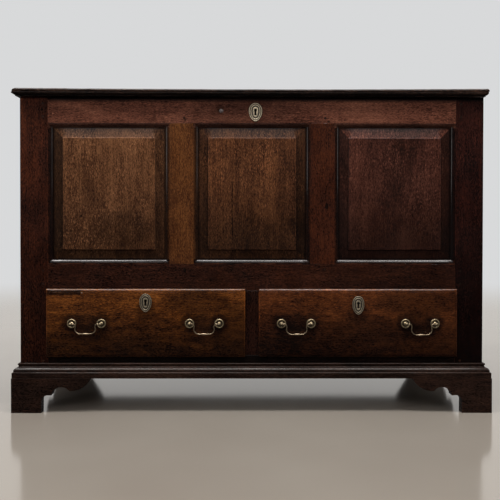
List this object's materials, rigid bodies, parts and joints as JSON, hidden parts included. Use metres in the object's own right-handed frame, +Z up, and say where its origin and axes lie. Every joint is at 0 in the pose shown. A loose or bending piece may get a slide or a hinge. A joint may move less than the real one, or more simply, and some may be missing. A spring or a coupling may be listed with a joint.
{
  "type": "mule chest",
  "caption": "Panelled oak mule chest: hinged lid over a blanket compartment, drawers side by side below with swan-neck handles, on a moulded base with bracket feet.",
  "frame": {"origin": "on the floor, under the middle of the overall box", "axes": "+X to the chest's left-to-right as seen from the front, the front faces -Y, +Z up"},
  "size_m": [1.311, 0.5719, 0.8834],
  "materials": {
    "oak_polished": "old dark oak, waxed and polished",
    "oak_unpolished": "old oak, bare and dry, on hidden faces",
    "old_brass": "aged cast brass, toned and rubbed",
    "wrought_iron": "black forged iron",
    "bolt_iron": "worn bright iron"
  },
  "bodies": {
    "carcase": {"front_top_rail": "oak_polished", "front_middle_rail": "oak_polished", "front_bottom_rail": "oak_polished", "muntin_left": "oak_polished", "muntin_right": "oak_polished", "drawer_divider": "oak_polished", "front_panel_left": "oak_polished", "front_panel_middle": "oak_polished", "front_panel_right": "oak_polished", "front_stile_left": "oak_polished", "front_stile_right": "oak_polished", "rear_stile_left": "oak_polished", "rear_stile_right": "oak_polished", "side_rails_left": "oak_polished", "side_rails_right": "oak_polished", "side_panel_upper_left": "oak_polished", "side_panel_upper_right": "oak_polished", "side_panel_lower_left": "oak_polished", "side_panel_lower_right": "oak_polished", "base_moulding_front": "oak_polished", "base_moulding_left": "oak_polished", "base_moulding_right": "oak_polished", "bracket_foot_front_left": "oak_polished", "bracket_foot_front_right": "oak_polished", "bracket_foot_rear_left": "oak_polished", "bracket_foot_rear_right": "oak_polished", "joint_pegs": "oak_polished", "back_frame": "oak_unpolished", "back_panels": "oak_unpolished", "chest_floor": "oak_unpolished", "drawer_runners": "oak_unpolished", "till": "oak_unpolished", "chest_escutcheon": "old_brass", "carcase_hinge_plates": "wrought_iron", "chest_lock_case": "wrought_iron"},
    "lid": {"lid_boards": "oak_polished", "lid_battens": "oak_unpolished", "lid_hinge_straps": "wrought_iron", "lid_lock_staple": "wrought_iron"},
    "chest_bolt": {"chest_lock_bolt": "bolt_iron"},
    "drawer_left": {"drawer_front_left": "oak_polished", "drawer_sides_left": "oak_unpolished", "drawer_back_left": "oak_unpolished", "drawer_bottom_left": "oak_unpolished", "drawer_lock_case_left": "wrought_iron", "drawer_escutcheon_left": "old_brass", "handle_mounts_left": "old_brass"},
    "drawer_bolt_left": {"drawer_lock_bolt_left": "bolt_iron"},
    "bail_left_a": {"handle_bail_left_a": "old_brass"},
    "bail_left_b": {"handle_bail_left_b": "old_brass"},
    "drawer_right": {"drawer_front_right": "oak_polished", "drawer_sides_right": "oak_unpolished", "drawer_back_right": "oak_unpolished", "drawer_bottom_right": "oak_unpolished", "drawer_lock_case_right": "wrought_iron", "drawer_escutcheon_right": "old_brass", "handle_mounts_right": "old_brass"},
    "drawer_bolt_right": {"drawer_lock_bolt_right": "bolt_iron"},
    "bail_right_a": {"handle_bail_right_a": "old_brass"},
    "bail_right_b": {"handle_bail_right_b": "old_brass"}
  },
  "joints": [
    {"name": "lid_hinge", "type": "hinge", "parent": "carcase", "child": "lid", "pos_m": [0, 0.28095, 0.8624], "axis": [-1, 0, 0], "range_deg": [0, 100]},
    {"name": "drawer_slide_left", "type": "slide", "parent": "carcase", "child": "drawer_left", "axis": [0, -1, 0], "range_m": [0, 0.4]},
    {"name": "bail_swing_left_a", "type": "hinge", "parent": "drawer_left", "child": "bail_left_a", "pos_m": [-0.45225, -0.28095, 0.2425], "axis": [-1, 0, 0], "range_deg": [-15, 90]},
    {"name": "bail_swing_left_b", "type": "hinge", "parent": "drawer_left", "child": "bail_left_b", "pos_m": [-0.13025, -0.28095, 0.2425], "axis": [-1, 0, 0], "range_deg": [-15, 90]},
    {"name": "drawer_bolt_slide_left", "type": "slide", "parent": "drawer_left", "child": "drawer_bolt_left", "axis": [0, 0, 1], "range_m": [0, 0.008]},
    {"name": "drawer_slide_right", "type": "slide", "parent": "carcase", "child": "drawer_right", "axis": [0, -1, 0], "range_m": [0, 0.4]},
    {"name": "bail_swing_right_a", "type": "hinge", "parent": "drawer_right", "child": "bail_right_a", "pos_m": [0.12125, -0.28095, 0.2425], "axis": [-1, 0, 0], "range_deg": [-15, 90]},
    {"name": "bail_swing_right_b", "type": "hinge", "parent": "drawer_right", "child": "bail_right_b", "pos_m": [0.46125, -0.28095, 0.2425], "axis": [-1, 0, 0], "range_deg": [-15, 90]},
    {"name": "drawer_bolt_slide_right", "type": "slide", "parent": "drawer_right", "child": "drawer_bolt_right", "axis": [0, 0, 1], "range_m": [0, 0.008]},
    {"name": "chest_bolt_slide", "type": "slide", "parent": "carcase", "child": "chest_bolt", "axis": [-1, 0, 0], "range_m": [0, 0.008]}
  ]
}
